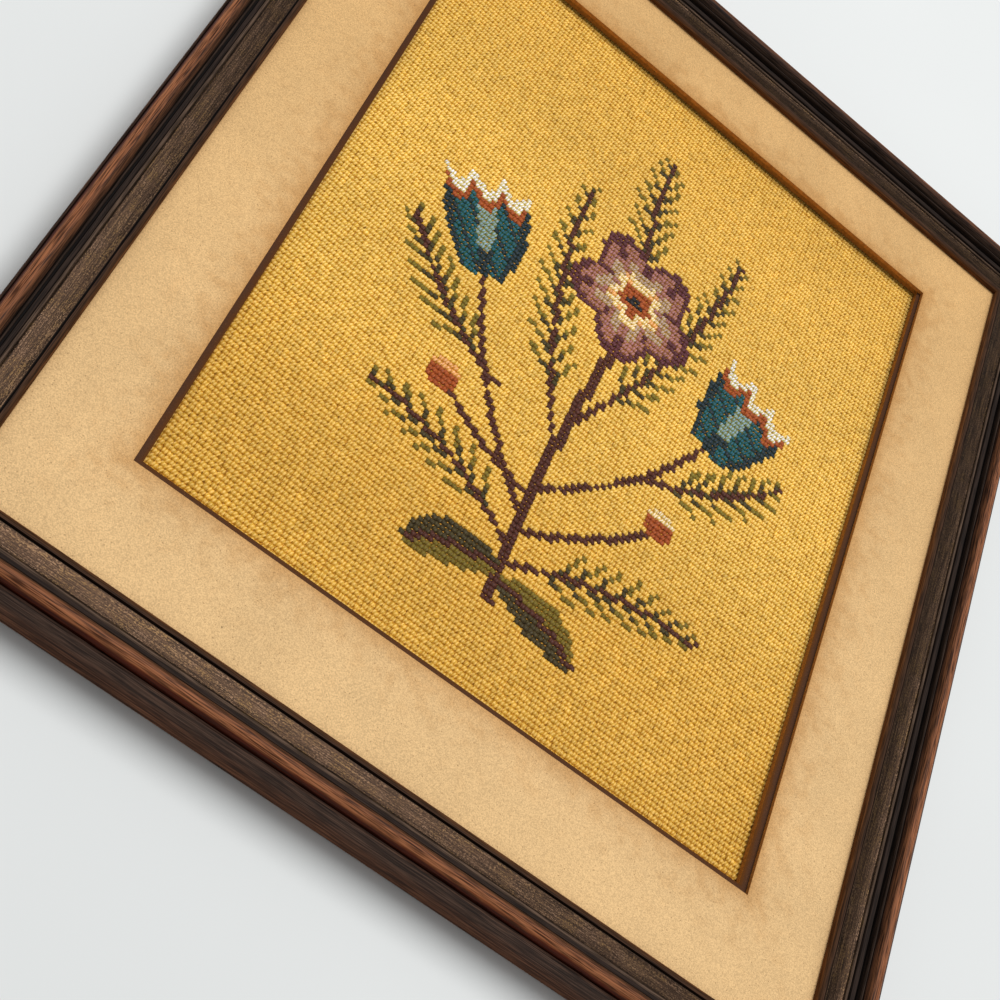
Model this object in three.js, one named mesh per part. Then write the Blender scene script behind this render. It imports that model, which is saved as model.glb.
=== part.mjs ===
// A framed needlepoint picture, lying on its back.
//
// Millimetres, +Z up. The picture faces +Z, its upper edge is towards +Y and its right edge
// towards +X. The origin is under the middle of the frame, on the surface that the frame
// lies on, so the frame's back face is the plane z = 0.
//
// From the front to the back: four mitred rails of one wood moulding, a tan window mat, a
// darker inner mat that shows as a narrow strip, the stitched canvas, and a plain board
// that closes the back. Everything but the rails sits in the rabbet behind their lip.

import * as THREE from 'three';

// ---- driving dimensions -------------------------------------------------------------

const GAP = 0.3; // clearance between pieces that touch on the real object

// The opening that the rails leave, measured at the lip.
const SIGHT_WIDTH = 319;
const SIGHT_HEIGHT = 385;

// The window of the tan mat, and how much tan board shows on each side of it.
const WINDOW_WIDTH = 247;
const WINDOW_HEIGHT = 311.4;
const MARGIN_LEFT = 37.0;
const MARGIN_BOTTOM = 41.2;

// How much of the inner mat shows inside the tan one. Its window was cut a little wider at the
// top than at the bottom, and it sits a little high, so at the top its edge is just hidden.
const REVEAL_LEFT = { bottom: 2.9, top: 2.5 };
const REVEAL_RIGHT = { bottom: 3.1, top: 1.7 };
const REVEAL_BOTTOM = 3.1;
const REVEAL_TOP = -0.8;

// Heights over the back face.
const BOARD_BOTTOM = 2.7;
const BOARD_THICKNESS = 3.0;
const CLOTH_THICKNESS = 2.2;
const INNER_MAT_THICKNESS = 2.4;
const TAN_MAT_THICKNESS = 1.8;

// The moulding, and the rabbet behind its lip.
const RAIL_WIDTH = 22.4;
const RABBET_WIDTH = 5.5;
const RABBET_CLEARANCE = 0.5; // between the boards' edges and the rabbet's wall

// ---- derived heights ------------------------------------------------------------------

const CLOTH_BOTTOM = BOARD_BOTTOM + BOARD_THICKNESS + GAP;
const INNER_MAT_BOTTOM = CLOTH_BOTTOM + CLOTH_THICKNESS + GAP;
const TAN_MAT_BOTTOM = INNER_MAT_BOTTOM + INNER_MAT_THICKNESS + GAP;
const MAT_FACE = TAN_MAT_BOTTOM + TAN_MAT_THICKNESS;

// The tan mat's window as edges in the frame. It sits a little high and a little to the right
// in the sight opening.
const LEFT = MARGIN_LEFT - SIGHT_WIDTH / 2;
const RIGHT = LEFT + WINDOW_WIDTH;
const BOTTOM = MARGIN_BOTTOM - SIGHT_HEIGHT / 2;
const TOP = BOTTOM + WINDOW_HEIGHT;

// Both windows as corners, anticlockwise from the lower left.
const TAN_WINDOW = [
  [LEFT, BOTTOM],
  [RIGHT, BOTTOM],
  [RIGHT, TOP],
  [LEFT, TOP],
];
const INNER_WINDOW = [
  [LEFT + REVEAL_LEFT.bottom, BOTTOM + REVEAL_BOTTOM],
  [RIGHT - REVEAL_RIGHT.bottom, BOTTOM + REVEAL_BOTTOM],
  [RIGHT - REVEAL_RIGHT.top, TOP - REVEAL_TOP],
  [LEFT + REVEAL_LEFT.top, TOP - REVEAL_TOP],
];

// Boards and canvas are cut to the rabbet.
const SHEET_X = SIGHT_WIDTH / 2 + RABBET_WIDTH - RABBET_CLEARANCE;
const SHEET_Y = SIGHT_HEIGHT / 2 + RABBET_WIDTH - RABBET_CLEARANCE;
const SHEET_OUTLINE = [
  [-SHEET_X, -SHEET_Y],
  [SHEET_X, -SHEET_Y],
  [SHEET_X, SHEET_Y],
  [-SHEET_X, SHEET_Y],
];

// ---- materials --------------------------------------------------------------------------

function finish(colour, roughness) {
  return new THREE.MeshStandardMaterial({ color: colour, roughness, metalness: 0 });
}

const STAINED_WOOD = 0x4a3327;
const TAN_BOARD = 0xdcb888;
const DARK_BOARD = 0x4e352b;
const GOLD_YARN = 0xcc9c48;
const GREY_BOARD = 0x8a7a66;

// ---- the moulding -------------------------------------------------------------------------

// Every size of the section is (out, up): out from the lip's edge, up from the tan mat's face.

// Half-round parts, from the inner foot over the top to the outer one. The lip's edge stops
// at the crest. Angles are in degrees from straight out.
const LIP_EDGE = { out: 0.7, up: 1.6, halfWidth: 0.7, height: 0.65, from: 180, to: 95 };
const FIELD_EDGE = { out: 11.0, up: 2.15, halfWidth: 0.75, height: 0.55, from: 180, to: 0 };
const FILLET = { out: 14.75, up: 5.1, halfWidth: 0.45, height: 0.9, from: 180, to: 0 };
const BEAD = { out: 18.25, up: 5.0, halfWidth: 2.95, height: 3.65, from: 180, to: 0 };
const ARRIS = { out: 21.95, up: 5.05, halfWidth: 0.45, height: 0.45, from: 180, to: 0 };

// Grooves between them, each cut down to its floor.
const LIP_GROOVE = { from: 2.5, to: 2.95, floor: 1.0 };
const FIELD_GROOVE = { from: 11.8, to: 11.85, floor: 1.9 };
const FILLET_GROOVE = { from: 13.6, to: 14.2, floor: 3.0 };
const BEAD_GROOVE = { from: 15.25, to: 15.3, floor: 4.6 };
const ARRIS_GROOVE = { from: 21.3, to: 21.45, floor: 4.2 };

// The flats: the lip's top, the broad field with the lowest pull of its dish, the narrow flat.
const LIP_TOP_END = { out: 2.4, up: 2.75 };
const FIELD_START = { out: 3.05, up: 2.3 };
const FIELD_DISH = { out: 6.8, up: 1.7 };
const FLAT_START = { out: 12.0, up: 3.3 };
const FLAT_END = { out: 13.35, up: 3.9 };

// The outer face leans in below this height over the back, and ends in a small chamfer.
const UNDERCUT = { height: 5.5, inset: 0.9 };
const CHAMFER = { height: 0.6, inset: 1.4 };

// The section of the moulding: x runs outward from the lip, y up from the back face.
function mouldingSection() {
  const section = new THREE.Shape();
  const to = (out, up) => section.lineTo(out, MAT_FACE + up);
  const toPoint = (point) => to(point.out, point.up);
  const over = (round) => {
    const { out, up, halfWidth, height, from, to: end } = round;
    const angles = [from, end].map(THREE.MathUtils.degToRad);
    section.absellipse(out, MAT_FACE + up, halfWidth, height, ...angles, true);
  };
  const through = (groove) => {
    to(groove.from, groove.floor);
    to(groove.to, groove.floor);
  };

  section.moveTo(0, MAT_FACE + GAP);
  to(0, LIP_EDGE.up);
  over(LIP_EDGE);
  toPoint(LIP_TOP_END);
  through(LIP_GROOVE);

  toPoint(FIELD_START);
  const fieldEnd = FIELD_EDGE.out - FIELD_EDGE.halfWidth;
  const dishUp = MAT_FACE + FIELD_DISH.up;
  section.quadraticCurveTo(FIELD_DISH.out, dishUp, fieldEnd, MAT_FACE + FIELD_EDGE.up);
  over(FIELD_EDGE);
  through(FIELD_GROOVE);

  toPoint(FLAT_START);
  toPoint(FLAT_END);
  through(FILLET_GROOVE);
  to(FILLET.out - FILLET.halfWidth, FILLET.up);
  over(FILLET);
  through(BEAD_GROOVE);
  over(BEAD);
  through(ARRIS_GROOVE);
  to(ARRIS.out - ARRIS.halfWidth, ARRIS.up);
  over(ARRIS);

  // down the outside, along the back, up the rabbet's wall and under the lip
  section.lineTo(RAIL_WIDTH, UNDERCUT.height);
  section.lineTo(RAIL_WIDTH - UNDERCUT.inset, CHAMFER.height);
  section.lineTo(RAIL_WIDTH - CHAMFER.inset, 0);
  section.lineTo(RABBET_WIDTH, 0);
  section.lineTo(RABBET_WIDTH, MAT_FACE + GAP);
  section.closePath();
  return section;
}

const CURVE_STEPS = 14; // straight steps in each curve of the section

// One rail, mitred at both ends. In its own frame x runs outward from the lip, y along the
// rail and z up, and the sight edge is sightLength long.
function railGeometry(sightLength) {
  const geometry = new THREE.ExtrudeGeometry(mouldingSection(), {
    depth: 1,
    steps: 1,
    bevelEnabled: false,
    curveSegments: CURVE_STEPS,
  });
  const mitreSetback = GAP * Math.SQRT1_2;
  const position = geometry.getAttribute('position');
  for (let i = 0; i < position.count; i += 1) {
    const out = position.getX(i);
    const up = position.getY(i);
    const end = position.getZ(i) > 0 ? -1 : 1;
    const along = end * (sightLength / 2 + out - mitreSetback);
    position.setXYZ(i, out, along, up);
  }
  geometry.computeVertexNormals();
  return geometry;
}

// quarterTurns: which way the rail faces outward, counted from +X towards +Y.
function rail(name, quarterTurns, sightLength, sightDistance) {
  const mesh = new THREE.Mesh(railGeometry(sightLength), finish(STAINED_WOOD, 0.45));
  const angle = (quarterTurns * Math.PI) / 2;
  mesh.name = name;
  mesh.rotation.z = angle;
  mesh.position.set(Math.cos(angle) * sightDistance, Math.sin(angle) * sightDistance, 0);
  return mesh;
}

function frameRails() {
  const group = new THREE.Group();
  group.add(rail('rail_right', 0, SIGHT_HEIGHT, SIGHT_WIDTH / 2));
  group.add(rail('rail_top', 1, SIGHT_WIDTH, SIGHT_HEIGHT / 2));
  group.add(rail('rail_left', 2, SIGHT_HEIGHT, SIGHT_WIDTH / 2));
  group.add(rail('rail_bottom', 3, SIGHT_WIDTH, SIGHT_HEIGHT / 2));
  return group;
}

// ---- boards and cloth -----------------------------------------------------------------------

function fourSided(path, corners) {
  path.moveTo(...corners[0]);
  for (const corner of corners.slice(1)) {
    path.lineTo(...corner);
  }
  path.closePath();
  return path;
}

// A flat sheet cut to the rabbet, with a window if one is given.
function sheet(name, bottom, thickness, material, window = null) {
  const outline = fourSided(new THREE.Shape(), SHEET_OUTLINE);
  if (window !== null) {
    outline.holes.push(fourSided(new THREE.Path(), window));
  }
  const geometry = new THREE.ExtrudeGeometry(outline, { depth: thickness, bevelEnabled: false });
  const mesh = new THREE.Mesh(geometry, material);
  mesh.name = name;
  mesh.position.z = bottom;
  return mesh;
}

// ---- the picture ------------------------------------------------------------------------------

const picture = new THREE.Group();
picture.name = 'framed_needlepoint_picture';
picture.add(frameRails());
picture.add(sheet('mat_tan', TAN_MAT_BOTTOM, TAN_MAT_THICKNESS, finish(TAN_BOARD, 0.9), TAN_WINDOW));
picture.add(
  sheet('mat_inner', INNER_MAT_BOTTOM, INNER_MAT_THICKNESS, finish(DARK_BOARD, 0.85), INNER_WINDOW),
);
picture.add(sheet('needlepoint', CLOTH_BOTTOM, CLOTH_THICKNESS, finish(GOLD_YARN, 0.95)));
picture.add(sheet('backing_board', BOARD_BOTTOM, BOARD_THICKNESS, finish(GREY_BOARD, 0.9)));

export default picture;
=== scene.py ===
# %% [markdown]
# # A framed needlepoint picture
# The real object is a piece of canvas that someone covered from edge to edge with slanted wool
# stitches. It sits behind a dark inner mat and a tan outer mat in a stained wooden frame, and
# lies on its back on a pale surface.
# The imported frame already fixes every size. This script gives each piece its finish, works the
# stitches one by one, and sets up the camera and the light.

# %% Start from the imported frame
import math

import bmesh
import bpy
import numpy as np
from mathutils import Matrix, Vector


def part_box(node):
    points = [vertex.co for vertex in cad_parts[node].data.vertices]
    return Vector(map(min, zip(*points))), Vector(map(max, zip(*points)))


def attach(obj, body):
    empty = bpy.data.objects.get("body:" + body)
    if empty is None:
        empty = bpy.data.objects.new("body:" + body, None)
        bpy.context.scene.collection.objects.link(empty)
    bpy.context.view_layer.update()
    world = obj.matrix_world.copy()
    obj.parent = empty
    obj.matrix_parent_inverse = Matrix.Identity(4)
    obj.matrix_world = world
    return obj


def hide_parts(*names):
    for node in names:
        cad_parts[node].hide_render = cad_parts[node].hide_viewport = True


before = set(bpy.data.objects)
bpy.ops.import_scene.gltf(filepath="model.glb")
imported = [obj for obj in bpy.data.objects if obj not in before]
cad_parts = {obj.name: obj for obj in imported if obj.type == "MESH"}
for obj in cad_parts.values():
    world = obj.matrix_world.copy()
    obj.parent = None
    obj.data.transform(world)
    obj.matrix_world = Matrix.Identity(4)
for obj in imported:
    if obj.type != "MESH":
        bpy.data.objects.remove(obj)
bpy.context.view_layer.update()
BODY = "root"
print("nodes:", ", ".join(sorted(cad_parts)))

# %% [markdown]
# ## Sizes that the frame gives
# Blender counts in metres, and a picture framer counts in millimetres. One small function lets
# the rest of the script speak in millimetres.
# The sight edge is the inner edge of the wooden frame. Each mat's window is found from its own
# mesh: the points that don't lie on the board's outer edge are the corners of its window. The
# dark mat's window isn't quite square, so each side's place is the middle of its two corners.


# %% Measure the sight edge and both windows
def mm(value):
    """Millimetres as metres."""
    return value / 1000


def window_of(node):
    """Low and high edges of the window cut in a mat, each at the middle of its side."""
    outer_low, outer_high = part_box(node)
    points = [v.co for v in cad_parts[node].data.vertices]
    inside = np.array(
        [
            p[:]
            for p in points
            if outer_low.x + mm(1) < p.x < outer_high.x - mm(1)
            and outer_low.y + mm(1) < p.y < outer_high.y - mm(1)
        ]
    )
    middle = (inside.min(0) + inside.max(0)) / 2
    low = [inside[inside[:, axis] < middle[axis], axis].mean() for axis in range(3)]
    high = [inside[inside[:, axis] > middle[axis], axis].mean() for axis in range(3)]
    return Vector(low), Vector(high)


SIGHT_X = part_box("rail_right")[0].x
SIGHT_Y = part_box("rail_top")[0].y
TAN_WINDOW = window_of("mat_tan")
INNER_WINDOW = window_of("mat_inner")
MAT_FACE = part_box("mat_tan")[1].z
CLOTH_LOW, CLOTH_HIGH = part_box("needlepoint")
print(f"sight opening {2000 * SIGHT_X:.0f} by {2000 * SIGHT_Y:.0f} mm")
print(f"face of the tan mat {1000 * MAT_FACE:.1f} mm up")

# %% [markdown]
# ## The camera
# The picture is looked at from its lower left, from about half a metre up, with the camera
# turned on its side so that the frame runs across the view as a diamond. A camera in Blender
# looks down its own -Z axis. Three turns place it: tilt it up from straight down, swing it
# round the vertical, and roll it about its own line of sight.


# %% Place the camera
def put_in_scene(name, data):
    """A new object for a mesh, a camera or a lamp."""
    made = bpy.data.objects.new(name, data)
    bpy.context.scene.collection.objects.link(made)
    return made


AIM = Vector((mm(-12.27), mm(-78.25), MAT_FACE))
CAMERA_DISTANCE = 0.63593
CAMERA_AZIMUTH = math.radians(-21.946)
CAMERA_ELEVATION = math.radians(47.733)
CAMERA_ROLL = math.radians(53.32)
CAMERA_LENS = 67.81

camera_data = bpy.data.cameras.new("camera")
camera_data.sensor_width = 36
camera_data.lens = CAMERA_LENS
camera_data.clip_start = 0.01
camera = put_in_scene("camera", camera_data)
bpy.context.scene.camera = camera

swing = Matrix.Rotation(CAMERA_AZIMUTH, 4, "Z")
tilt = Matrix.Rotation(math.pi / 2 - CAMERA_ELEVATION, 4, "X")
roll = Matrix.Rotation(CAMERA_ROLL, 4, "Z")
turned = swing @ tilt @ roll
camera.matrix_world = Matrix.Translation(AIM + turned.col[2].xyz * CAMERA_DISTANCE) @ turned
print("camera at", [round(x, 3) for x in camera.matrix_world.translation])

# %% [markdown]
# ## Floor and light
# The light is one large soft box overhead, a little behind the picture, and about a third of
# the light comes from the pale room all round. That gives the short soft shadows in front of
# the lower rail and beside the left one. A grey world stands for the room. The camera itself
# sees a pale backdrop where the floor ends.

# %% Floor, soft box and room
FLOOR_SIZE = 4.0
LAMP_PLACE = Vector((0.27, 1.05, 3.01))
LAMP_SIZE = 2.2
LAMP_POWER = 89.0
ROOM_GREY = 0.31
BACKDROP = (0.76, 0.78, 0.78, 1.0)

bm = bmesh.new()
bmesh.ops.create_grid(bm, x_segments=1, y_segments=1, size=FLOOR_SIZE / 2)
floor_mesh = bpy.data.meshes.new("floor")
bm.to_mesh(floor_mesh)
bm.free()
floor = put_in_scene("floor", floor_mesh)

lamp_data = bpy.data.lights.new("soft_box", "AREA")
lamp_data.shape = "SQUARE"
lamp_data.size = LAMP_SIZE
lamp_data.energy = LAMP_POWER
lamp = put_in_scene("soft_box", lamp_data)
lamp.location = LAMP_PLACE
lamp.rotation_mode = "QUATERNION"
lamp.rotation_quaternion = (-LAMP_PLACE).to_track_quat("-Z", "Y")

world = bpy.data.worlds.new("room")
bpy.context.scene.world = world
world.use_nodes = True
room = world.node_tree
room_light = room.nodes["Background"]
room_light.inputs["Color"].default_value = (ROOM_GREY, ROOM_GREY, ROOM_GREY, 1)
backdrop = room.nodes.new("ShaderNodeBackground")
backdrop.inputs["Color"].default_value = BACKDROP
seen = room.nodes.new("ShaderNodeLightPath")
either = room.nodes.new("ShaderNodeMixShader")
room.links.new(seen.outputs["Is Camera Ray"], either.inputs["Fac"])
room.links.new(room_light.outputs["Background"], either.inputs[1])
room.links.new(backdrop.outputs["Background"], either.inputs[2])
room.links.new(either.outputs["Shader"], room.nodes["World Output"].inputs["Surface"])
bpy.context.scene.view_settings.view_transform = "Standard"
print("one soft box of", LAMP_SIZE, "m and a grey room")

# %% [markdown]
# ## Helpers for node trees
# A finish is a small tree of nodes. These helpers keep each tree short to read: `add` makes a
# node and fills its inputs, either with a value or with a link from another node. `maths`,
# `fade` and `mix` are the three nodes that are needed again and again. `within` is two fades
# that make a plateau, `tinted` multiplies a colour, and `emboss` is the bump that gives a finish
# its fine relief. Colours of paint and yarn are written as sRGB shares, as a paint chart gives
# them, and `linear` turns them into the numbers that light needs. A tint only multiplies, so it
# is written as it is.


# %% Node helpers
def add(tree, kind, inputs=None, **settings):
    """A node of that kind in a tree, with its settings made and its inputs filled."""
    made = tree.nodes.new(kind)
    for name, value in settings.items():
        setattr(made, name, value)
    for socket, value in (inputs or {}).items():
        if isinstance(value, bpy.types.NodeSocket):
            tree.links.new(value, made.inputs[socket])
        else:
            made.inputs[socket].default_value = value
    return made


def maths(tree, operation, first, second=0.0, clamp=False):
    """The result of one Math node."""
    inputs = {0: first, 1: second}
    return add(tree, "ShaderNodeMath", inputs, operation=operation, use_clamp=clamp).outputs[0]


def fade(tree, value, start, end, low=0.0, high=1.0):
    """A soft step: low where value is at start, high where it is at end."""
    inputs = {"Value": value, "From Min": start, "From Max": end, "To Min": low, "To Max": high}
    made = add(tree, "ShaderNodeMapRange", inputs, interpolation_type="SMOOTHSTEP")
    return made.outputs["Result"]


def within(tree, value, start, full, full_end, end):
    """A plateau: nothing outside start and end, and all from full to full_end."""
    rise, fall = fade(tree, value, start, full), fade(tree, value, end, full_end)
    return maths(tree, "MULTIPLY", rise, fall)


def mix(tree, factor, first, second, blend="MIX"):
    """Two colours mixed by a factor."""
    inputs = {0: factor, 6: first, 7: second}
    made = add(tree, "ShaderNodeMix", inputs, data_type="RGBA", blend_type=blend)
    return made.outputs[2]


def tinted(tree, colour, tint):
    """A colour multiplied by a tint, which is another colour or a single value."""
    return mix(tree, 1.0, colour, tint, "MULTIPLY")


def emboss(tree, shader, height, strength, depth):
    """Fine relief: the surface looks raised by up to depth where height is 1."""
    inputs = {"Strength": strength, "Distance": depth, "Height": height}
    raised = add(tree, "ShaderNodeBump", inputs)
    tree.links.new(raised.outputs["Normal"], shader.inputs["Normal"])


def vectors(tree, operation, first, second=(0, 0, 0)):
    """The result of one Vector Math node."""
    inputs = {0: first, 1: second}
    return add(tree, "ShaderNodeVectorMath", inputs, operation=operation).outputs[0]


def parts(tree, vector):
    """The X, Y and Z of a vector."""
    return add(tree, "ShaderNodeSeparateXYZ", {"Vector": vector}).outputs[:]


def noise(tree, places, scale, detail, roughness=0.5):
    """Soft random values, with finer and finer detail added."""
    inputs = {"Vector": places, "Scale": scale, "Detail": detail, "Roughness": roughness}
    return add(tree, "ShaderNodeTexNoise", inputs).outputs["Fac"]


def attribute(tree, name, output):
    """What a mesh carries at each point under that name."""
    return add(tree, "ShaderNodeAttribute", attribute_name=name).outputs[output]


def linear(colour):
    """An sRGB colour as the linear one that shaders work in, with full opacity."""
    shares = [c / 12.92 if c <= 0.04045 else ((c + 0.055) / 1.055) ** 2.4 for c in colour]
    return (*shares, 1.0)


def new_group(name, inputs, output):
    """A node group with one number as its output. An input without a default is a vector.

    Returns the group, the sockets that it is given, and the socket for its result.
    """
    group = bpy.data.node_groups.new(name, "ShaderNodeTree")
    for socket, default in inputs.items():
        kind = "NodeSocketVector" if default is None else "NodeSocketFloat"
        made = group.interface.new_socket(name=socket, in_out="INPUT", socket_type=kind)
        if default is not None:
            made.default_value = default
    group.interface.new_socket(name=output, in_out="OUTPUT", socket_type="NodeSocketFloat")
    given = group.nodes.new("NodeGroupInput").outputs
    return group, given, group.nodes.new("NodeGroupOutput").inputs[output]


def place_group(tree, group, **inputs):
    """The result of a node group placed in a tree. Underscores in names stand for spaces."""
    made = add(tree, "ShaderNodeGroup", node_tree=group)
    for name, value in inputs.items():
        socket = made.inputs[name.replace("_", " ")]
        if isinstance(value, bpy.types.NodeSocket):
            tree.links.new(value, socket)
        else:
            socket.default_value = value
    return made.outputs[0]


def new_material(name, roughness):
    """A material with a Principled shader of that plain roughness."""
    material = bpy.data.materials.new(name)
    material.use_nodes = True
    shader = material.node_tree.nodes["Principled BSDF"]
    shader.inputs["Roughness"].default_value = roughness
    return material, material.node_tree, shader


# %% [markdown]
# ## Effects that several finishes share
# Four effects turn up on more than one piece, so each is a node group:
# streaks that run along one direction, for the grain of wood and the hairs of wool;
# specks, which are small dots scattered at random;
# the distance outward from a window's edge, which the mats' shading follows;
# and a cloudy unevenness, because no dyed or painted thing is quite even.
# Every group takes its coordinates in millimetres.

# %% Group: streaks along the X of its coordinates
STREAK_SIZES = {"Length": 20.0, "Width": 0.5, "Detail": 3.0}

streaks, given, result = new_group("Streaks", {"Vector": None, **STREAK_SIZES}, "Value")
across = maths(streaks, "DIVIDE", 1.0, given["Width"])
along = maths(streaks, "DIVIDE", 1.0, given["Length"])
squeeze = add(streaks, "ShaderNodeCombineXYZ", {"X": along, "Y": across, "Z": across})
squeezed = vectors(streaks, "MULTIPLY", given["Vector"], squeeze.outputs[0])
streaks.links.new(noise(streaks, squeezed, 1.0, given["Detail"]), result)

# %% Group: scattered specks
SPECK_SIZES = {"Spacing": 2.0, "Size": 0.2, "Share": 0.3}

specks, given, result = new_group("Specks", {"Vector": None, **SPECK_SIZES}, "Mask")
density = maths(specks, "DIVIDE", 1.0, given["Spacing"])
layout = {"Vector": given["Vector"], "Scale": density, "Randomness": 1.0}
cells = add(specks, "ShaderNodeTexVoronoi", layout)
near = maths(specks, "MULTIPLY", cells.outputs["Distance"], given["Spacing"])
inside = fade(specks, near, given["Size"], maths(specks, "MULTIPLY", given["Size"], 0.5))
draw = add(specks, "ShaderNodeSeparateColor", {"Color": cells.outputs["Color"]})
chosen = maths(specks, "LESS_THAN", draw.outputs["Red"], given["Share"])
specks.links.new(maths(specks, "MULTIPLY", inside, chosen), result)

# %% Group: distance outward from a window's edge
WINDOW_INPUTS = {"Vector": None, "Centre": None, "Half Width": 1.0, "Half Height": 1.0}

edge_distance, given, result = new_group("Window Edge", WINDOW_INPUTS, "Distance")
from_centre = vectors(edge_distance, "SUBTRACT", given["Vector"], given["Centre"])
x, y = parts(edge_distance, vectors(edge_distance, "ABSOLUTE", from_centre))[:2]
beyond_x = maths(edge_distance, "SUBTRACT", x, given["Half Width"])
beyond_y = maths(edge_distance, "SUBTRACT", y, given["Half Height"])
edge_distance.links.new(maths(edge_distance, "MAXIMUM", beyond_x, beyond_y), result)

# %% Group: cloudy unevenness
CLOUD_INPUTS = {"Vector": None, "Size": 20.0, "Low": 0.9, "High": 1.1}

clouds, given, result = new_group("Clouds", CLOUD_INPUTS, "Value")
billows = noise(clouds, given["Vector"], maths(clouds, "DIVIDE", 1.0, given["Size"]), 2.0)
clouds.links.new(fade(clouds, billows, 0.3, 0.7, given["Low"], given["High"]), result)
print("shared groups:", ", ".join(g.name for g in bpy.data.node_groups))


# %% Coordinates in millimetres
def object_millimetres(tree):
    """The piece's own coordinates, in millimetres."""
    own = add(tree, "ShaderNodeTexCoord").outputs["Object"]
    return vectors(tree, "MULTIPLY", own, (1000, 1000, 1000))


# %% [markdown]
# ## The floor's finish
# A pale matt surface. It is only there to catch the shadow, but a trace of cloudiness keeps it
# from looking like paper cut from the background.

# %% Floor finish
PALE_SURFACE = (0.80, 0.82, 0.815, 1.0)

floor_finish, tree, shader = new_material("pale_surface", 0.75)
places = object_millimetres(tree)
cloud = place_group(tree, clouds, Vector=places, Size=260.0, Low=0.97, High=1.0)
floor_colour = tinted(tree, PALE_SURFACE, cloud)
tree.links.new(floor_colour, shader.inputs["Base Color"])
shader.inputs["Specular IOR Level"].default_value = 0.2
floor_mesh.materials.append(floor_finish)
print("floor finish of", len(tree.nodes), "nodes")


# %% [markdown]
# ## Helpers that make and place a piece
# Nearly every new piece ends the same way: its bmesh becomes a mesh, the mesh gets its
# material, and the object rides on the frame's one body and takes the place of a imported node.
# The stitches take no node's place, because the canvas below them already does.


# %% Piece helpers
def new_piece(name, mesh, material, stands_for=()):
    """An object for a finished mesh, riding on the frame."""
    mesh.materials.clear()
    mesh.materials.append(material)
    piece = put_in_scene(name, mesh)
    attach(piece, BODY)
    if stands_for:
        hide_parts(*stands_for)
    return piece


def mesh_of(bm, name):
    """The mesh that a bmesh describes. The bmesh is closed."""
    mesh = bpy.data.meshes.new(name)
    bm.to_mesh(mesh)
    bm.free()
    return mesh


def whole_copy(node):
    """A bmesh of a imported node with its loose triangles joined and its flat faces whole."""
    bm = bmesh.new()
    bm.from_mesh(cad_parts[node].data)
    bmesh.ops.remove_doubles(bm, verts=bm.verts, dist=mm(0.002))
    bmesh.ops.dissolve_limit(
        bm, angle_limit=math.radians(0.5), verts=bm.verts, edges=bm.edges
    )
    bm.normal_update()
    return bm


def softened(bm, edges, width, steps=2):
    """Bevels some edges of a bmesh, as sanding or handling rounds them."""
    bmesh.ops.bevel(
        bm,
        geom=edges,
        offset=width,
        segments=steps,
        profile=0.5,
        affect="EDGES",
        material=-1,
        clamp_overlap=True,
    )
    bm.normal_update()


def shaded(mesh, sharp_from):
    """Shades a mesh smooth, apart from edges sharper than that angle in degrees."""
    mesh.shade_smooth()
    mesh.set_sharp_from_angle(angle=math.radians(sharp_from))
    return mesh


def write_attribute(mesh, name, kind, key, values):
    """Gives every point of a mesh a value that a finish can read by its name."""
    data = mesh.attributes.new(name, kind, "POINT").data
    data.foreach_set(key, np.asarray(values, np.float32).ravel())


# %% [markdown]
# ## The canvas
# Needlepoint is worked on an open cotton canvas with about a dozen holes to the inch. Under
# full stitching almost nothing of it shows, apart from the small dark gaps between stitches, so
# it is a plain thin sheet with its weave in the finish.
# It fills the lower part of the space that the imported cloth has. The wool fills the rest, and
# stands up to the mat that lies on it, because wool is springy.

# %% Canvas shape
CANVAS_THICKNESS = mm(1.65)
canvas_width = CLOTH_HIGH.x - CLOTH_LOW.x
canvas_height = CLOTH_HIGH.y - CLOTH_LOW.y

bm = bmesh.new()
bmesh.ops.create_grid(bm, x_segments=24, y_segments=28, size=0.5)
bmesh.ops.scale(bm, vec=(canvas_width, canvas_height, 1), verts=bm.verts)
bmesh.ops.translate(bm, vec=(0, 0, CLOTH_LOW.z + CANVAS_THICKNESS), verts=bm.verts)
bmesh.ops.solidify(bm, geom=bm.faces, thickness=CANVAS_THICKNESS)
bmesh.ops.recalc_face_normals(bm, faces=bm.faces)
canvas_mesh = mesh_of(bm, "canvas")
CANVAS_TOP = max(v.co.z for v in canvas_mesh.vertices)
print(f"canvas {1000 * canvas_width:.0f} by {1000 * canvas_height:.0f} mm")
print(f"top of the canvas {1000 * CANVAS_TOP:.1f} mm up")

# %% [markdown]
# ## The canvas finish
# The threads of a plain woven canvas pass over and under each other. Two waves, one along each
# direction, raise the threads, and where both are low there is a hole, painted darker as its
# shade. The colour is a brownish gold, because the stitcher's canvas was toned to hide behind
# the gold wool.

# %% Canvas finish
COLUMN_PITCH, ROW_PITCH = 2.07, 2.17
HOLE_SHADE_BROWN, THREAD_GOLD = (0.60, 0.38, 0.06), (0.80, 0.57, 0.16)

canvas_finish, tree, shader = new_material("cotton_canvas", 0.9)
places = object_millimetres(tree)
x, y = parts(tree, places)[:2]
turns_x = maths(tree, "MULTIPLY", x, 2 * math.pi / COLUMN_PITCH)
turns_y = maths(tree, "MULTIPLY", y, 2 * math.pi / ROW_PITCH)
upright = maths(tree, "COSINE", turns_x)
level = maths(tree, "COSINE", turns_y)
threads = fade(tree, maths(tree, "MAXIMUM", upright, level), -0.6, 0.8)
# Painted shade: the holes between the threads take the darker brown.
toned = mix(tree, threads, linear(HOLE_SHADE_BROWN), linear(THREAD_GOLD))
cloud = place_group(tree, clouds, Vector=places, Size=14.0, Low=0.82, High=1.05)
tree.links.new(tinted(tree, toned, cloud), shader.inputs["Base Color"])
emboss(tree, shader, threads, strength=0.8, depth=mm(0.3))

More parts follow.
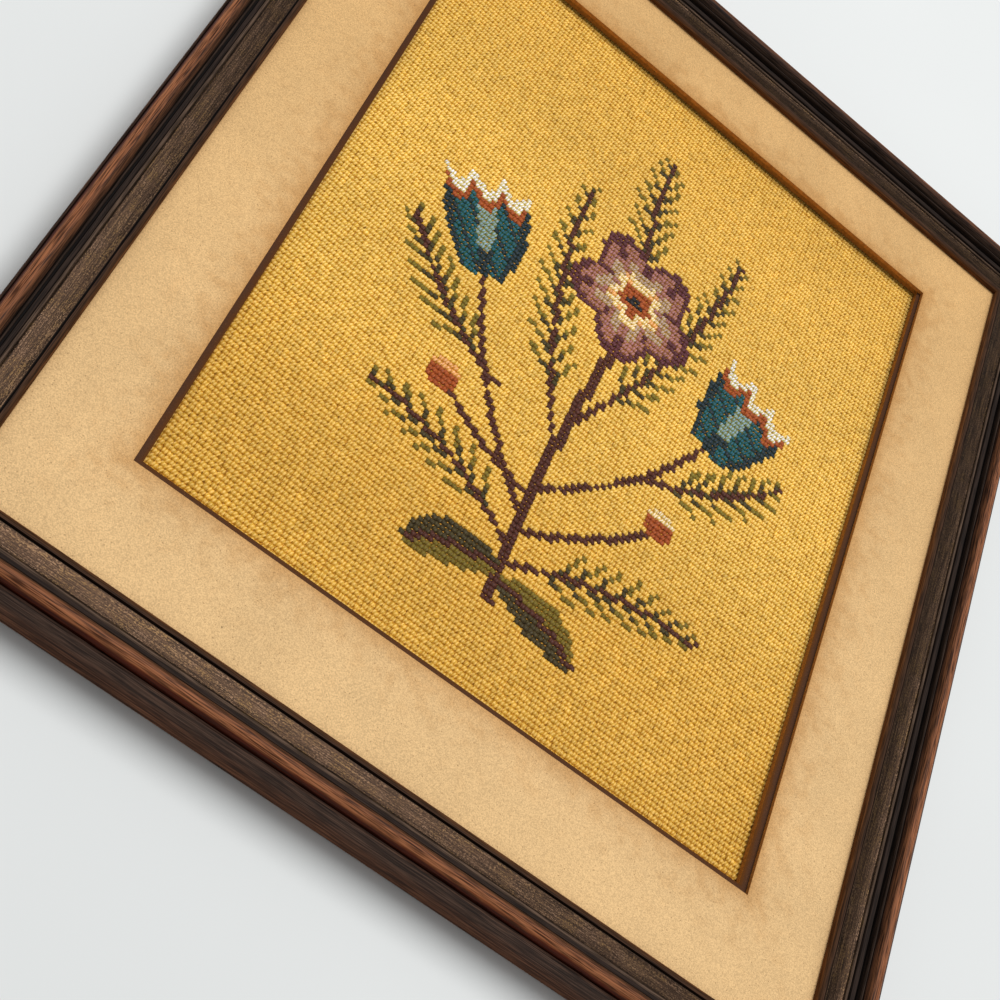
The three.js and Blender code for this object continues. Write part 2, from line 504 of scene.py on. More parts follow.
canvas = new_piece("canvas", canvas_mesh, canvas_finish, ["needlepoint"])
print(f"canvas threads {COLUMN_PITCH} mm apart across and {ROW_PITCH} mm up")

# %% [markdown]
# ## The chart
# A needlepoint design is a chart: one square for each stitch, and a yarn for each square. Here
# the ground is gold, and the design is a plain spray of three garden flowers between fern
# fronds, drawn for this part. Its yarns are the browns, greens, teals, plums and creams of an
# old wool picture.
# The chart could be typed in square by square. Curves and petals are easier to read as a few
# small drawing functions, so the chart is drawn the way a stitcher would sketch it on squared
# paper: stems first, then leaves, then flowers on top.

# %% Yarns and the empty chart
COLUMNS, ROWS = 120, 146

YARNS = {
    "gold": (0.945, 0.762, 0.322),
    "bark": (0.31, 0.125, 0.035),
    "moss": (0.26, 0.215, 0.03),
    "leaf": (0.48, 0.41, 0.05),
    "teal": (0.06, 0.32, 0.32),
    "night": (0.06, 0.15, 0.16),
    "plum": (0.35, 0.145, 0.15),
    "rose": (0.64, 0.42, 0.34),
    "stone": (0.72, 0.60, 0.45),
    "cream": (0.95, 0.84, 0.58),
    "peach": (0.92, 0.66, 0.36),
    "rust": (0.64, 0.29, 0.04),
    "ink": (0.10, 0.085, 0.085),
    "chalk": (0.92, 0.88, 0.73),
    "mist": (0.52, 0.60, 0.52),
}
YARN_NAMES = list(YARNS)
chart = np.zeros((ROWS, COLUMNS), int)


def stitch(x, y, yarn):
    """Works one square of the chart, at a column and a row, in a yarn."""
    column, row = math.floor(x), math.floor(y)
    if 0 <= column < COLUMNS and 0 <= row < ROWS:
        chart[row, column] = YARN_NAMES.index(yarn)


def bowed(start, end, bow, steps=220):
    """Points on a gentle curve that bows out to the left of its way by a share of its length."""
    (ax, ay), (bx, by) = start, end
    mx, my = (ax + bx) / 2 - (by - ay) * bow, (ay + by) / 2 + (bx - ax) * bow
    return [
        (
            (1 - t) ** 2 * ax + 2 * t * (1 - t) * mx + t * t * bx,
            (1 - t) ** 2 * ay + 2 * t * (1 - t) * my + t * t * by,
        )
        for t in np.linspace(0, 1, steps)
    ]


# %% Stems, fern fronds and broad leaves
def stem(start, end, bow, thickness=1):
    """A stem, one or two stitches thick."""
    for x, y in bowed(start, end, bow):
        for step in range(thickness):
            stitch(x + step, y, "bark")


def slip(x, y, heading, length):
    """One slim leaf, dark where it leaves the stem and lighter at its tip."""
    for step in range(1, length + 1):
        yarn = "moss" if step <= 0.5 * length else "leaf"
        stitch(x + step * math.cos(heading), y + step * math.sin(heading), yarn)


def fern(start, end, bow, longest, spacing=1.85, lean=0.70):
    """A frond: a stem with slim leaves on both sides by turns, longest below the middle."""
    stem(start, end, bow)
    points = bowed(start, end, bow)
    total = sum(math.dist(a, b) for a, b in zip(points, points[1:]))
    walked, since, side = 0.0, 0.0, 1
    for a, b in zip(points, points[1:]):
        walked += math.dist(a, b)
        since += math.dist(a, b)
        if since < spacing or walked < 0.2 * total:
            continue
        since, side = 0.0, -side
        share = walked / total
        length = max(2, round(longest * math.sin(math.pi * (0.25 + 0.68 * share)) ** 0.9))
        heading = math.atan2(b[1] - a[1], b[0] - a[0])
        slip(b[0], b[1], heading + side * lean, length)


def broad_leaf(start, end, bow, width):
    """A broad leaf on a dark rib, with a darker and a lighter half."""
    points = bowed(start, end, bow)
    for step, (a, b) in enumerate(zip(points, points[1:])):
        half = width / 2 * math.sin(math.pi * step / len(points)) ** 0.7
        run = math.dist(a, b)
        left = (-(b[1] - a[1]) / run, (b[0] - a[0]) / run)
        for out in np.arange(-half, half + 0.01, 0.4):
            stitch(a[0] + left[0] * out, a[1] + left[1] * out, "moss" if out < 0 else "leaf")
    for x, y in points:
        stitch(x, y, "bark")


# %% Flowers and buds
def squares():
    """Every square of the chart with its middle."""
    for row in range(ROWS):
        for column in range(COLUMNS):
            yield row, column, column + 0.5, row + 0.5


def open_flower(centre, radius, petals, turn, rings):
    """A flower seen from above. rings lists (inner limit, yarn, yarn of the vein) inward."""
    for row, column, x, y in squares():
        out = math.hypot(x - centre[0], y - centre[1])
        around = math.cos(petals * (math.atan2(y - centre[1], x - centre[0]) + turn))
        edge = radius * (0.70 + 0.30 * ((1 + around) / 2) ** 0.6)
        if out > edge:
            continue
        for limit, yarn, vein in rings:
            if out / edge > limit:
                stitch(column, row, vein if around > 0.90 or around < -0.94 else yarn)
                break


def bell_flower(foot, length, width, heading):
    """A bell seen from the side, with a scalloped pale mouth."""
    c, s = math.cos(heading), math.sin(heading)
    for row, column, x, y in squares():
        x, y = x - foot[0], y - foot[1]
        along, aside = (x * c + y * s) / length, (y * c - x * s) / width
        if not 0 <= along <= 1:
            continue
        half = 0.5 * math.sin(math.pi * min(0.5, 0.08 + 0.62 * along)) ** 0.6
        mouth = 1 - 0.16 * abs(math.sin(1.5 * math.pi * (aside / half + 1)))
        if abs(aside) > half or along > mouth:
            continue
        if along > mouth - 0.12:
            yarn = "chalk"
        elif along > mouth - 0.22:
            yarn = "rust"
        elif abs(aside) > 0.78 * half:
            yarn = "night"
        elif abs(aside) < 0.22 * half:
            yarn = "mist" if along > 0.25 else "night"
        else:
            yarn = "night" if (row + column) % 5 == 0 else "teal"
        stitch(column, row, yarn)


def bud(centre, radius, body, tip):
    """A round bud with a lighter tip."""
    for row, column, x, y in squares():
        if math.dist((x, y), centre) <= radius:
            stitch(column, row, tip if y - centre[1] > 0.2 * radius else body)


# %% Draw the spray
FRONDS = [  # start, end, bow
    ((59, 29), (25, 41), -0.14),
    ((60, 26), (97, 36), 0.12),
    ((45, 55), (18, 76), 0.14),
    ((59, 52), (45, 107), 0.12),
    ((60, 58), (80, 116), -0.10),
    ((76, 58), (103, 76), -0.12),
    ((62, 95), (58, 127), 0.06),
]
TWIGS = [
    ((59, 36), (34, 74), 0.14),
    ((59, 42), (86, 74), -0.14),
    ((59, 33), (82, 50), -0.12),
    ((59, 40), (37, 49), 0.12),
]
PLUM_RINGS = [
    (0.86, "plum", "plum"),
    (0.64, "rose", "plum"),
    (0.44, "stone", "rose"),
    (0.26, "cream", "peach"),
    (0.12, "rust", "rust"),
    (-1.0, "ink", "ink"),
]
for start, end, bow in FRONDS:
    fern(start, end, bow, longest=7)
for start, end, bow in TWIGS:
    stem(start, end, bow)
stem((59, 18), (62, 82), 0.05, thickness=2)
broad_leaf((59, 24), (42, 19), -0.20, 7)
broad_leaf((60, 22), (77, 17), 0.20, 7)
bell_flower((34, 73), 22, 18, math.radians(110))
bell_flower((86, 73), 22, 18, math.radians(68))
open_flower((62, 91), 14.5, 5, math.radians(18), PLUM_RINGS)
bud((36, 50), 3.4, "rust", "peach")
bud((83, 52), 3.4, "rust", "cream")
worked = int((chart > 0).sum())
print(f"chart of {COLUMNS} by {ROWS} squares, {worked} of them worked in the design")

# %% [markdown]
# ## One stitch
# A tent stitch is the smallest slanted stitch. The wool comes up through a hole, crosses one
# thread crossing of the canvas and goes down again at the upper right. Thick wool hides most of
# that slant: what shows is a short plump length of yarn that leans a little to the right and
# touches its neighbours, and whose two ends dive out of sight between the rows.
# The yarn is of two plies that lie side by side, so its top is two round ridges with a groove
# between them. Next to each other the stitches of a row look like one ribbed cord, and the
# grooves between the rows are deeper than any other.
# A sphere with its poles laid along the yarn has the right plan. Its rings are filled out, so
# that it is plump nearly to its ends, and its middle line is pressed in between the plies.
# Raising a share of the way to a power below one fills a curve out, and a power above one
# draws it in. The shape stays at 48 triangles, because there are more than seventeen thousand
# of it.

# %% Stitch shape
STITCH_LEAN = math.radians(71)
STITCH_LENGTH = mm(2.80)
STITCH_WIDTH = mm(2.70)
STITCH_THICKNESS = mm(1.10)
END_DIP = mm(1.05)
PLY_GROOVE = mm(0.24)

bm = bmesh.new()
bmesh.ops.create_uvsphere(bm, u_segments=8, v_segments=4, radius=1)
bmesh.ops.rotate(bm, verts=bm.verts, matrix=Matrix.Rotation(math.pi / 2, 3, "Y"))
for vert in bm.verts:
    along, ring = vert.co.x, max(math.hypot(vert.co.y, vert.co.z), 0.001)
    side, top = vert.co.y / ring, vert.co.z / ring
    plump = ring**0.25 if ring > 0.01 else 0.0
    pressed = PLY_GROOVE * max(top, 0.0) ** 8
    vert.co.x = math.copysign(abs(along) ** 0.6, along) * STITCH_LENGTH / 2
    vert.co.y = math.copysign(abs(side) ** 2.2, side) * plump * STITCH_WIDTH / 2
    vert.co.z = math.copysign(abs(top) ** 0.5, top) * STITCH_THICKNESS / 2 - pressed
    vert.co.z = vert.co.z * plump - END_DIP * along**2
bmesh.ops.recalc_face_normals(bm, faces=bm.faces)
bm.verts.index_update()
stitch_points = np.array([v.co[:] for v in bm.verts])
stitch_points[:, 2] -= stitch_points[:, 2].max()
stitch_faces = [[v.index for v in face.verts] for face in bm.faces]
bm.free()
print(f"one stitch has {len(stitch_points)} points and {len(stitch_faces)} faces")

# %% [markdown]
# ## All the stitches
# The rows of real stitching wander a little, and no two stitches are pulled equally tight. Each
# stitch therefore gets its own small change of place, slant, size and shade. The random draws
# are seeded, so the script makes the same cloth every time.
# The colour of each stitch is its yarn's, changed three ways. Yarn dyed in several lots leaves
# soft bands across the ground. The middle and upper part are painted lighter, which shows
# most in the blue share of a gold yarn. The outermost rows, where the wool meets the mat, are
# painted darker as shade.
# A copy of the stitch for each square would make thousands of objects. The points of all the
# stitches are worked out as arrays instead and joined into five upright bands, which keeps each
# mesh small enough to handle.
# Every point carries two attributes: the colour of its yarn, and its place along and across its
# own strand, which the wool finish needs for its twist.

# %% Place every stitch
PLACE_SPREAD, SLANT_SPREAD, LIFT_SPREAD = 0.07, 0.11, 0.04  # mm, radians, mm
SIZE_SPREAD = (0.055, 0.09, 0.08)  # shares of the length, the width and the thickness

rng = np.random.default_rng(12)
row_at, column_at = np.mgrid[0:ROWS, 0:COLUMNS]
row_at, column_at = row_at.ravel(), column_at.ravel()
count = ROWS * COLUMNS
window_middle = (INNER_WINDOW[0] + INNER_WINDOW[1]) / 2

centre_x = (column_at + 0.5 - COLUMNS / 2) * COLUMN_PITCH
centre_y = (row_at + 0.5 - ROWS / 2) * ROW_PITCH
wander_x = 0.30 * np.sin(centre_y / 31 + 0.6) + 0.16 * np.sin(centre_x / 23 + centre_y / 47)
wander_y = 0.34 * np.sin(centre_x / 39 + 1.9) + 0.14 * np.sin(centre_x / 11 + centre_y / 29)
centre_x = mm(centre_x + wander_x + rng.normal(0, PLACE_SPREAD, count)) + window_middle.x
centre_y = mm(centre_y + wander_y + rng.normal(0, PLACE_SPREAD, count)) + window_middle.y

slant = STITCH_LEAN + rng.normal(0, SLANT_SPREAD, count)
size = 1 + rng.normal(0, SIZE_SPREAD, (count, 3))
lift = rng.normal(0, LIFT_SPREAD, count)
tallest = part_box("mat_inner")[0].z - mm(0.03)
crown = tallest - mm(0.10)
print(f"{count} stitches, their crowns {1000 * crown:.1f} mm up")

# %% Colour every stitch
LIGHTER_AT = (-112, -85, -35, 60, 140)  # millimetres up from the middle of the frame
LIGHTER_SHARES = (0, 0.15, 1, 1.05, 0.38)  # how much lighter it is painted there
LIGHTENING = (0.133, 0.218, 0.46)  # what it adds to red, green and blue
SHADE_SPREAD = 0.055
EDGE_SHADE, EDGE_SHADE_REACH = 0.35, mm(1.5)

shade = 1 + rng.normal(0, SHADE_SPREAD, count)
dye_lot = 1 + 0.035 * np.sin(centre_y * 1000 / 17 + 1.3 * np.sin(centre_x * 1000 / 43))
# Painted lighter towards the middle and top, most in the blue share.
light = np.interp(centre_y * 1000, LIGHTER_AT, LIGHTER_SHARES)
lightened = 1 + light[:, None] * LIGHTENING
# Painted shade: the outermost rows, where the wool meets the mat, are darkened.
half_window = (INNER_WINDOW[1] - INNER_WINDOW[0]) / 2
from_side = half_window.x - abs(centre_x - window_middle.x)
from_end = half_window.y - abs(centre_y - window_middle.y)
inward = np.clip(np.minimum(from_side, from_end), 0, None)
edge_shaded = 1 - EDGE_SHADE * np.exp(-inward / EDGE_SHADE_REACH)
yarn_table = np.array([linear(YARNS[name])[:3] for name in YARN_NAMES])
yarn_colours = yarn_table[chart[row_at, column_at]] * (shade * dye_lot * edge_shaded)[:, None] * lightened
print("mean linear colour:", yarn_colours.mean(0).round(3))


# %% Points and faces of a choice of stitches
def stitch_places(chosen):
    """Every point of the chosen stitches, each one sized, slanted and set in its square."""
    here = stitch_points[None] * size[chosen][:, None]
    c, s = np.cos(slant[chosen])[:, None], np.sin(slant[chosen])[:, None]
    x = here[..., 0] * c - here[..., 1] * s + centre_x[chosen][:, None]
    y = here[..., 0] * s + here[..., 1] * c + centre_y[chosen][:, None]
    z = here[..., 2] + crown + mm(lift[chosen])[:, None]
    return np.stack([x, y, np.minimum(z, tallest)], -1).reshape(-1, 3)


def stitch_corners(number):
    """Corners of the faces of that many stitches, where each face starts, and its size."""
    corners = np.concatenate([np.array(face) for face in stitch_faces])
    sizes = np.array([len(face) for face in stitch_faces])
    loops = (np.arange(number)[:, None] * len(stitch_points) + corners[None]).ravel()
    totals = np.tile(sizes, number)
    starts = np.concatenate([[0], np.cumsum(totals)[:-1]])
    return loops, starts, totals


# %% Turn a choice of stitches into one mesh
def stitched_mesh(name, chosen):
    """One mesh that holds the chosen stitches."""
    places = stitch_places(chosen)
    loops, starts, totals = stitch_corners(len(chosen))
    mesh = bpy.data.meshes.new(name)
    mesh.vertices.add(len(places))
    mesh.loops.add(len(loops))
    mesh.polygons.add(len(totals))
    mesh.vertices.foreach_set("co", places.astype(np.float32).ravel())
    mesh.loops.foreach_set("vertex_index", loops.astype(np.int32))
    mesh.polygons.foreach_set("loop_start", starts.astype(np.int32))
    mesh.polygons.foreach_set("loop_total", totals.astype(np.int32))
    mesh.update(calc_edges=True)
    mesh.shade_smooth()

    points = len(stitch_points)
    colours = np.repeat(yarn_colours[chosen], points, 0)
    colours = np.concatenate([colours, np.ones((len(colours), 1))], 1)
    write_attribute(mesh, "yarn", "FLOAT_COLOR", "color", colours)
    local = np.tile(stitch_points * 1000, (len(chosen), 1))
    local[:, 0] += np.repeat(chosen * 3.7 % 41.0, points)
    write_attribute(mesh, "strand", "FLOAT_VECTOR", "vector", local)

    low, span = places[:, :2].min(0), np.ptp(places[:, :2], axis=0)
    flat = ((places[:, :2] - low) / span)[loops]
    plan = mesh.uv_layers.new(name="OFBake")
    plan.uv.foreach_set("vector", flat.astype(np.float32).ravel())
    return mesh


# %% Work the whole chart
BANDS = 5

band_meshes = []
for band in range(BANDS):
    first, last = band * COLUMNS // BANDS, (band + 1) * COLUMNS // BANDS
    chosen = np.flatnonzero((column_at >= first) & (column_at < last))
    band_meshes.append(stitched_mesh(f"stitches_{band + 1}", chosen))
print(f"{sum(len(m.polygons) for m in band_meshes)} faces in {BANDS} bands")

# %% [markdown]
# ## The wool finish
# Tapestry wool is matt, with a faint bloom of loose fibre at its edges, which is what sheen
# gives. A wave across the strand makes its two plies, and finer streaks along it are the hairs,
# which also shake the wave so that no two plies look alike. Together they are the ridges of the
# yarn, with a painted highlight on top and painted shade between, and they raise the surface
# as well.
# Low down beside its neighbours the yarn is painted darker once more, as shade. Light that
# reaches a groove has met wool more than once, so that painted shade is amber, not grey.

# %% Wool finish: the ridges of the yarn
PLY_WIDTH, PLY_TURN = 1.10, 0.55

wool_finish, tree, shader = new_material("tapestry_wool", 0.55)
yarn_colour = attribute(tree, "yarn", "Color")
strand = attribute(tree, "strand", "Vector")
x, y, z = parts(tree, strand)
fluff = place_group(tree, streaks, Vector=strand, Length=2.6, Width=0.24, Detail=2.0)
hairs = fade(tree, fluff, 0.34, 0.66)
across = maths(tree, "MULTIPLY", y, 2 * math.pi / PLY_WIDTH)
across = maths(tree, "ADD", across, maths(tree, "MULTIPLY", x, PLY_TURN))
across = maths(tree, "ADD", across, maths(tree, "MULTIPLY", hairs, 1.4))
wave = maths(tree, "MULTIPLY", maths(tree, "COSINE", across), -0.5)
plies = maths(tree, "ADD", wave, 0.5)
hairy = maths(tree, "MULTIPLY", hairs, 0.4)
ridges = maths(tree, "ADD", maths(tree, "MULTIPLY", plies, 0.6), hairy)
emboss(tree, shader, ridges, strength=0.8, depth=mm(0.16))
print("ridges of the yarn:", len(tree.nodes), "nodes")

# %% Wool finish: its colour, with painted shade and painted highlight
# Painted light: the first tint is shade low between the rows, the second shade between the plies,
# the third a highlight on the ply ridges.
ROW_SHADE_TINT = (0.74, 0.58, 0.08, 1.0)
PLY_SHADE_TINT = (0.82, 0.73, 0.26, 1.0)
PLY_HIGHLIGHT_TINT = (1.18, 1.20, 1.90, 1.0)

height = fade(tree, z, -0.75, -0.12)
wool_colour = mix(tree, height, tinted(tree, yarn_colour, ROW_SHADE_TINT), yarn_colour)
ply_shaded = tinted(tree, wool_colour, PLY_SHADE_TINT)
ply_lit = tinted(tree, wool_colour, PLY_HIGHLIGHT_TINT)
wool_colour = mix(tree, fade(tree, ridges, 0.22, 0.80), ply_shaded, ply_lit)
tree.links.new(wool_colour, shader.inputs["Base Color"])
shader.inputs["Sheen Weight"].default_value = 0.04
shader.inputs["Sheen Roughness"].default_value = 0.5
shader.inputs["Specular IOR Level"].default_value = 0.34
print("with their colour:", len(tree.nodes), "nodes")

# %% Put the stitches on the canvas
stitches = [new_piece(mesh.name, mesh, wool_finish) for mesh in band_meshes]
print(len(stitches), "bands of stitches lie on the canvas")

# %% [markdown]
# ## The mats
# A mat is a sheet of thick paper board with a window cut in it. The tan one lies on top, and a
# narrow strip of the dark one shows inside it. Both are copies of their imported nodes. A knife
# leaves a clean edge that handling soon softens, so the windows' upper edges get a fine bevel.

# %% Mat shapes
MAT_SOFTENING = mm(0.14)


def mat_mesh(node, window):
    """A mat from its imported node, with its window's upper edge softened."""
    bm = whole_copy(node)
    low, high = window
    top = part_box(node)[1].z

    def on_rim(vert):
        return (
            abs(vert.co.z - top) < mm(0.05)
            and low.x - mm(2) < vert.co.x < high.x + mm(2)
            and low.y - mm(2) < vert.co.y < high.y + mm(2)
        )

    rim = [
        edge
        for edge in bm.edges
        if all(on_rim(v) for v in edge.verts) and edge.calc_face_angle(0) > math.radians(60)
    ]
    softened(bm, rim, MAT_SOFTENING, steps=3)
    print(f"{node}: softened {len(rim)} edges of its window")
    return shaded(mesh_of(bm, node + "_board"), 40)


tan_mesh = mat_mesh("mat_tan", TAN_WINDOW)
inner_mesh = mat_mesh("mat_inner", INNER_WINDOW)

# %% [markdown]
# ## The mat finish
# Both boards share one recipe. The face is paper: a flat tone with the fine mottle of fibres
# that lie every way, cloudy patches, small dark specks and a few larger spots of dirt. It has
# toned browner towards its upper left, and along the frame's lip it is painted darker, as the
# lip's shadow.
# Both faces were sprayed round their windows, strongest at the edge. On the tan board the warm
# brown is gone after about fifteen millimetres, and on the dark one it is only an amber line.
# The walls of the cut are brushed with a brown of their own on each board.
# The wall is told from the face by the direction that the surface looks in: the face looks
# straight up, and the wall sideways.

# %% Colours of age on the mats, and the lip's painted shadow
TONED = (0.87, 0.80, 0.68, 1.0)
SPECK_BROWN, DIRT_BROWN = linear((0.46, 0.30, 0.17)), linear((0.33, 0.24, 0.15))
# The last three are painted shadow: the tint, share and reach in mm of the lip's shadow on the
# mat.
LIP_SHADOW_TINT, LIP_SHADOW_SHARE, LIP_SHADOW_REACH = (0.60, 0.54, 0.48, 1.0), 0.6, 1.6


def aged_board_with_lip_shadow(tree, places, colour):
    """A board's face after years in its frame: toned, specked, spotted, with the lip's shadow
    painted on.
    """
    x, y = parts(tree, places)[:2]
    upper_left = maths(tree, "ADD", y, maths(tree, "MULTIPLY", x, -0.35))
    aged = fade(tree, upper_left, -180, 240)
    colour = mix(tree, aged, colour, tinted(tree, colour, TONED))
    small = place_group(tree, specks, Vector=places, Spacing=1.6, Size=0.30, Share=0.5)
    colour = mix(tree, maths(tree, "MULTIPLY", small, 0.45), colour, SPECK_BROWN)
    large = place_group(tree, specks, Vector=places, Spacing=11.0, Size=0.34, Share=0.25)
    colour = mix(tree, maths(tree, "MULTIPLY", large, 0.75), colour, DIRT_BROWN)

    # Painted shadow: the face is darkened close to the frame's lip, where the lip's shadow falls.
    sight = {"Half_Width": 1000 * SIGHT_X, "Half_Height": 1000 * SIGHT_Y}
    past_lip = place_group(tree, edge_distance, Vector=places, **sight)
    near_lip = maths(tree, "MULTIPLY", past_lip, 1 / LIP_SHADOW_REACH)
    lip_shadow = maths(tree, "EXPONENT", near_lip, clamp=True)
    lip_shadow = maths(tree, "MULTIPLY", lip_shadow, LIP_SHADOW_SHARE)
    return mix(tree, lip_shadow, colour, tinted(tree, colour, LIP_SHADOW_TINT))


# %% Mat finish
def board_finish(name, face, cut, spray, reach, window):
    """Paper board with a sprayed window. Colours are linear, and spray is what the edge keeps."""
    material, tree, shader = new_material(name, 0.9)
    places = object_millimetres(tree)
    low, high = window
    middle, half = (low + high) * 500, (high - low) * 500
    edge = {"Centre": (middle.x, middle.y, 0), "Half_Width": half.x, "Half_Height": half.y}
    out = place_group(tree, edge_distance, Vector=places, **edge)
    ragged = place_group(tree, clouds, Vector=places, Size=6.0, Low=0.55, High=1.6)
    spread = maths(tree, "MULTIPLY", ragged, -1 / reach)
    spray_mask = maths(tree, "EXPONENT", maths(tree, "MULTIPLY", out, spread), clamp=True)
    colour = mix(tree, spray_mask, face, tuple(f * s for f, s in zip(face, spray)))

    fibres = noise(tree, places, 2.2, 3.0, 0.75)
    grain = fade(tree, fibres, 0.32, 0.68, 0.75, 1.18)
    cloud = place_group(tree, clouds, Vector=places, Size=34.0, Low=0.96, High=1.04)
    grain = maths(tree, "MULTIPLY", grain, cloud)
    colour = aged_board_with_lip_shadow(tree, places, tinted(tree, colour, grain))

    upward = parts(tree, add(tree, "ShaderNodeNewGeometry").outputs["Normal"])[2]
    on_face = fade(tree, upward, 0.35, 0.75)
    layers = place_group(tree, clouds, Vector=places, Size=1.4, Low=0.8, High=1.15)
    colour = mix(tree, on_face, tinted(tree, cut, layers), colour)
    tree.links.new(colour, shader.inputs["Base Color"])
    emboss(tree, shader, fibres, strength=0.35, depth=mm(0.06))
    shader.inputs["Specular IOR Level"].default_value = 0.2
    print(f"{name}: {len(tree.nodes)} nodes, sprayed {reach} mm deep")
    return material


# %% Finish both mats
tan_finish = board_finish(
    "tan_board",
    face=(0.80, 0.53, 0.255, 1.0),
    cut=linear((0.70, 0.465, 0.215)),
    spray=(0.75, 0.62, 0.48, 1.0),
    reach=6.0,
    window=TAN_WINDOW,
)
dark_finish = board_finish(
    "dark_board",
    face=(0.078, 0.033, 0.0155, 1.0),
    cut=linear((0.61, 0.405, 0.165)),
    spray=(1.4, 1.0, 0.15, 1.0),
    reach=1.0,
    window=INNER_WINDOW,
)
new_piece("tan_mat", tan_mesh, tan_finish, ["mat_tan"])
new_piece("inner_mat", inner_mesh, dark_finish, ["mat_inner"])
print(len(tan_mesh.polygons) + len(inner_mesh.polygons), "faces in both mats")

# %% [markdown]
# ## The rails
# The frame is four lengths of one moulding, mitred at the corners. From the picture outwards
# the moulding has a small lip, a broad shallow field, a step, two fine beads and a fat round
# bead, and then a plain outer face.
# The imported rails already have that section. Each rail here is a copy of its node: its outward
# corners are rounded a little, as sanding leaves them, and its curves are shaded smooth.
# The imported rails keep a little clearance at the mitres, and a real joiner pulls those tight,
# so each rail's ends are moved out until only a hairline is left.
# Every point also gets an attribute that says where it lies on the moulding, in millimetres:
# along the rail, out from the sight edge, and up from the back. One finish then fits all four
# rails, with its grain along each. A second attribute says how far outward the round bead of
# that rail was rubbed, because the hand that rubbed it went by eye.

# %% Rail shapes
RAIL_SOFTENING = mm(0.10)
HAIRLINE = mm(0.03)
MITRE_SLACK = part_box("rail_top")[1].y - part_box("rail_right")[1].y
LONG_CORNER, CORNER_ANGLE = mm(250), math.radians(28)
RAILS = {"rail_right": (1, 0), "rail_top": (0, 1), "rail_left": (-1, 0), "rail_bottom": (0, -1)}
RUBBED_OUTWARD = {"rail_right": -0.4, "rail_top": 1.2, "rail_left": 0.4, "rail_bottom": 0.3}


def is_long_corner(edge):
    """Whether an edge is one of the outward corners that run along the moulding."""
    sharp = edge.is_convex and edge.calc_face_angle(0) > CORNER_ANGLE
    return sharp and edge.calc_length() > LONG_CORNER


def moulding_places(mesh, outward):
    """Where each point lies on the moulding: along, out from the sight edge, and up, in mm."""
    points = np.array([v.co[:] for v in mesh.vertices])
    x, y = points[:, 0], points[:, 1]
    if outward[0]:
        out, run = x * outward[0] - SIGHT_X, y
    else:
        out, run = y * outward[1] - SIGHT_Y, x
    return np.stack([run, out, points[:, 2]], 1) * 1000


def rail_mesh(node, outward):
    """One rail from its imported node, with softened corners and its place on the moulding."""
    bm = whole_copy(node)
    along = Vector((abs(outward[1]), abs(outward[0]), 0))
    for end in (-1, 1):
        at_end = [v for v in bm.verts if v.co.dot(along) * end > 0]
        bmesh.ops.translate(bm, vec=along * end * (MITRE_SLACK - HAIRLINE), verts=at_end)
    corners = [edge for edge in bm.edges if is_long_corner(edge)]
    softened(bm, corners, RAIL_SOFTENING)
    mesh = shaded(mesh_of(bm, node + "_moulding"), 35)
    places = moulding_places(mesh, outward)
    write_attribute(mesh, "section", "FLOAT_VECTOR", "vector", places)
    write_attribute(mesh, "rub", "FLOAT", "value", np.full(len(places), RUBBED_OUTWARD[node]))
    print(f"{node}: softened {len(corners)} long corners, {len(mesh.polygons)} faces")
    return mesh


rail_meshes = {node: rail_mesh(node, outward) for node, outward in RAILS.items()}

# %% [markdown]
# ## The rail finish
# The maker stained the wood nearly black, brushed the broad field with a speckled bronze, and
# then rubbed the round bead through to the red-brown wood. Years of hands and dusters went on
# rubbing the same high places, and a few knocks left pale chips along the bead.
# A colour ramp on the distance out from the sight edge paints the moulding band by band. On the
# bead that distance is shaken by fine streaks first, so that the rubbed bands there end in a
# brushed edge and not in a ruled line.
# The outer face is a thinner brown stain with its long grain showing, and redder near the back,
# where it was wiped off. The back and the rabbet were never stained, so they are bare wood.
# The bronze is a little metallic and the glossiest part. The rubbed bead comes next, then the
# outer face, and the grooves are dull.

# %% Bands of the moulding
MOULDING_WIDTH = 22.4
GROOVE_STAIN, FLAT_STAIN = (0.06, 0.04, 0.035), (0.165, 0.125, 0.105)
FIELD_STAIN, STEP_STAIN_AND_HIGHLIGHT = (0.215, 0.157, 0.114), (0.335, 0.267, 0.22)
FILLET_STAIN, ARRIS_STAIN = (0.20, 0.155, 0.13), (0.21, 0.14, 0.105)
MOULDING_BANDS = [  # millimetres out from the sight edge, and the stain there
    (0.45, (0.35, 0.215, 0.11)),
    (0.8, (0.265, 0.165, 0.095)),
    (1.5, (0.245, 0.158, 0.095)),
    (2.37, (0.24, 0.162, 0.118)),
    (2.5, GROOVE_STAIN),
    (2.95, GROOVE_STAIN),
    (3.05, FIELD_STAIN),
    (10.3, FIELD_STAIN),
    # The step beyond the field: its stain, painted lighter as a highlight.
    (10.7, STEP_STAIN_AND_HIGHLIGHT),
    (11.6, STEP_STAIN_AND_HIGHLIGHT),
    (11.8, GROOVE_STAIN),
    (12.0, FLAT_STAIN),
    (13.35, FLAT_STAIN),
    (13.6, GROOVE_STAIN),
    (14.2, GROOVE_STAIN),
    (14.35, FILLET_STAIN),
    (15.1, FILLET_STAIN),
    (15.3, GROOVE_STAIN),
    (15.5, (0.22, 0.14, 0.10)),
    (16.9, (0.305, 0.19, 0.118)),
    (17.8, (0.41, 0.255, 0.165)),
    (18.8, (0.48, 0.305, 0.205)),
    (19.7, (0.53, 0.345, 0.235)),
    (20.1, (0.48, 0.29, 0.18)),
    # The bead's outer flank: a darker stain, painted darker still as the shade on that flank.
    (20.45, (0.28, 0.11, 0.055)),
    (21.1, (0.24, 0.09, 0.045)),
    (21.35, GROOVE_STAIN),
    (21.6, ARRIS_STAIN),
    (22.4, ARRIS_STAIN),
]


